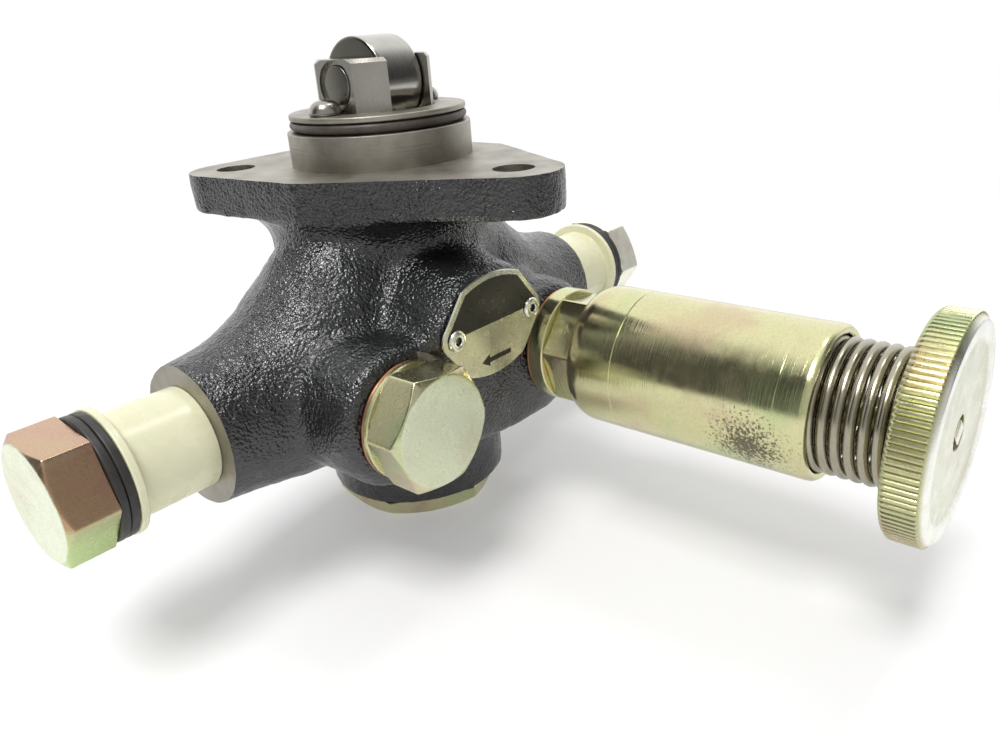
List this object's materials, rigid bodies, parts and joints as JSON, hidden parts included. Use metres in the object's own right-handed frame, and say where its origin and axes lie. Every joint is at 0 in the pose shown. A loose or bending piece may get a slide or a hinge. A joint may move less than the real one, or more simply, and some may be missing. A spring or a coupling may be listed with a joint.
{
  "type": "fuel lift pump",
  "caption": "Piston fuel lift pump: flange mounted cast body with roller tappet, hollow port bolts and a spring returned hand primer.",
  "frame": {"origin": "centre of the machined flange face, on the tappet axis", "axes": "+Z along the tappet axis, out of the engine side; X along the two port bolts, inlet at +X and outlet at -X; the hand primer points to -Y"},
  "size_m": [0.1711, 0.1538, 0.1078],
  "materials": {
    "black_casting": "rough black enamel on cast iron, machined faces bare grey",
    "ground_steel": "ground and hardened",
    "yellow_zinc": "yellow passivated zinc, satin",
    "spring_steel": "drawn wire, satin",
    "cream_plastic": "translucent natural nylon",
    "black_rubber": "smooth",
    "copper": "soft annealed copper",
    "aluminium_plate": "etched, black enamelled upper band"
  },
  "bodies": {
    "pump": {"pump_housing": "black_casting", "housing_o_ring": "black_rubber", "tappet_guide_pins": "ground_steel", "piston_spring": "spring_steel", "piston_plug": "yellow_zinc", "piston_plug_gasket": "copper", "outlet_valve_plug": "yellow_zinc", "outlet_valve_gasket": "copper", "outlet_valve_spring": "spring_steel", "inlet_valve_spring": "spring_steel", "banjo_bolts": "yellow_zinc", "port_sleeves": "cream_plastic", "port_washers": "black_rubber", "primer_gasket": "copper", "primer_barrel": "yellow_zinc", "primer_guide": "yellow_zinc", "primer_spring": "spring_steel", "name_plate": "aluminium_plate", "plate_rivets": "aluminium_plate"},
    "tappet": {"tappet_body": "ground_steel", "roller_pin": "ground_steel"},
    "roller": {"tappet_roller": "ground_steel"},
    "piston": {"piston": "ground_steel", "push_rod": "ground_steel"},
    "outlet_valve": {"outlet_valve": "ground_steel"},
    "inlet_valve": {"inlet_valve": "ground_steel"},
    "primer_plunger": {"primer_knob": "yellow_zinc", "primer_rod": "yellow_zinc", "primer_piston": "ground_steel"}
  },
  "joints": [
    {"name": "tappet_slide", "type": "slide", "parent": "pump", "child": "tappet", "axis": [0, 0, 1], "range_m": [-0.006, 0], "stiffness_N_per_m": 800, "springref_m": 0.003},
    {"name": "roller_spin", "type": "hinge", "parent": "tappet", "child": "roller", "pos_m": [0, 0, 0.0162], "axis": [1, 0, 0], "continuous": true},
    {"name": "piston_slide", "type": "slide", "parent": "pump", "child": "piston", "axis": [0, 0, 1], "range_m": [-0.006, 0], "deforming": ["piston_spring"]},
    {"name": "outlet_valve_lift", "type": "slide", "parent": "pump", "child": "outlet_valve", "axis": [0, -1, 0], "range_m": [0, 0.0015], "stiffness_N_per_m": 60, "springref_m": -0.002, "deforming": ["outlet_valve_spring"]},
    {"name": "inlet_valve_lift", "type": "slide", "parent": "pump", "child": "inlet_valve", "axis": [0, -1, 0], "range_m": [0, 0.0015], "stiffness_N_per_m": 60, "springref_m": -0.002, "deforming": ["inlet_valve_spring"]},
    {"name": "primer_slide", "type": "slide", "parent": "pump", "child": "primer_plunger", "axis": [0, 1, 0], "range_m": [0, 0.0135], "stiffness_N_per_m": 400, "springref_m": -0.004, "deforming": ["primer_spring"]}
  ],
  "couplings": [
    {"joint": "piston_slide", "follows": "tappet_slide", "ratio": 1}
  ]
}
